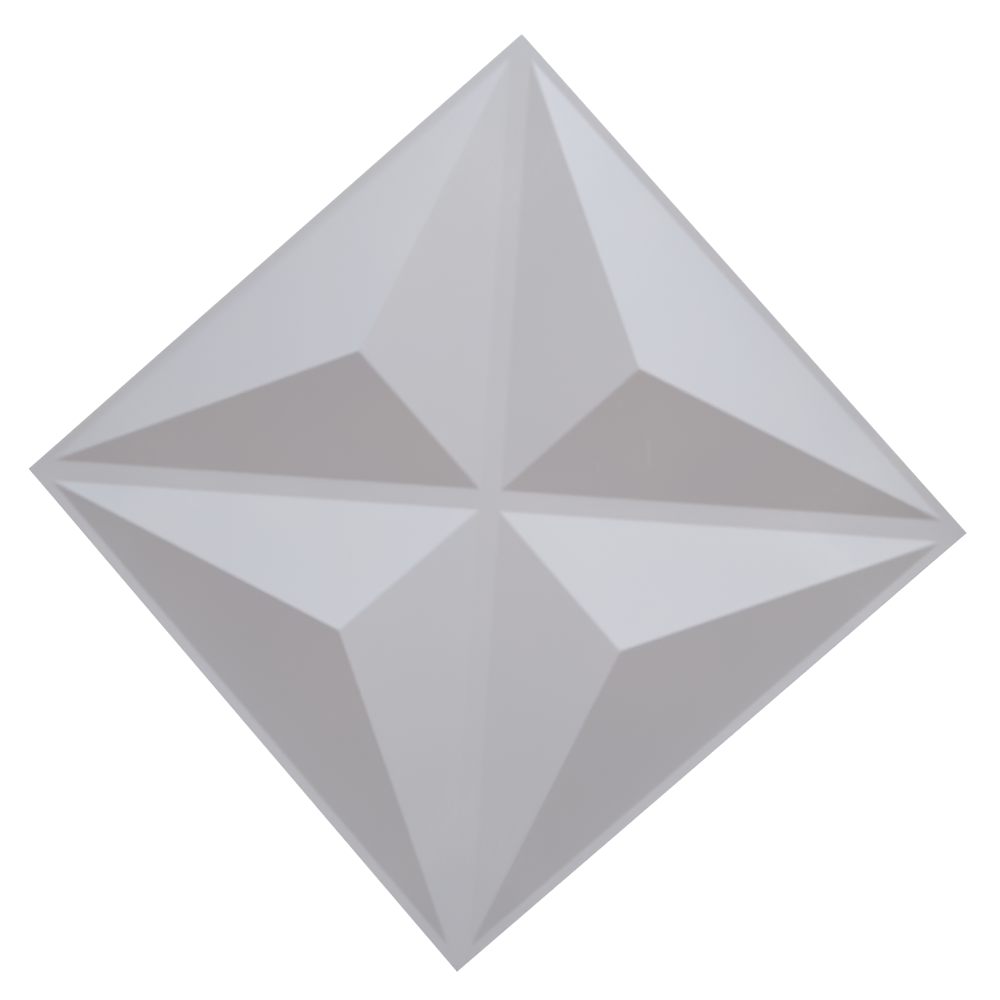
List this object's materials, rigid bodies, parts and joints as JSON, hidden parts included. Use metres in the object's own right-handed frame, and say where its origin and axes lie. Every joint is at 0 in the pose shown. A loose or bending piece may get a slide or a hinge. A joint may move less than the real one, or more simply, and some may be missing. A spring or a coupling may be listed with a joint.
{
  "type": "3d wall panel tile",
  "caption": "Square relief tile for covering a wall, pressed from thin rigid sheet: low three-sided pyramids between crossed flat channels, inside a flat border that meets the next tile.",
  "frame": {"origin": "middle of the flat back, which lies against the wall or on the floor", "axes": "+Z out of the wall through the relief; +X and +Y along the tile's edges"},
  "size_m": [0.5, 0.5, 0.0188],
  "materials": {
    "panel_sheet": "matt off-white rigid sheet with a fine even grain"
  },
  "bodies": {
    "root": {"tile_panel": "panel_sheet"}
  },
  "joints": []
}
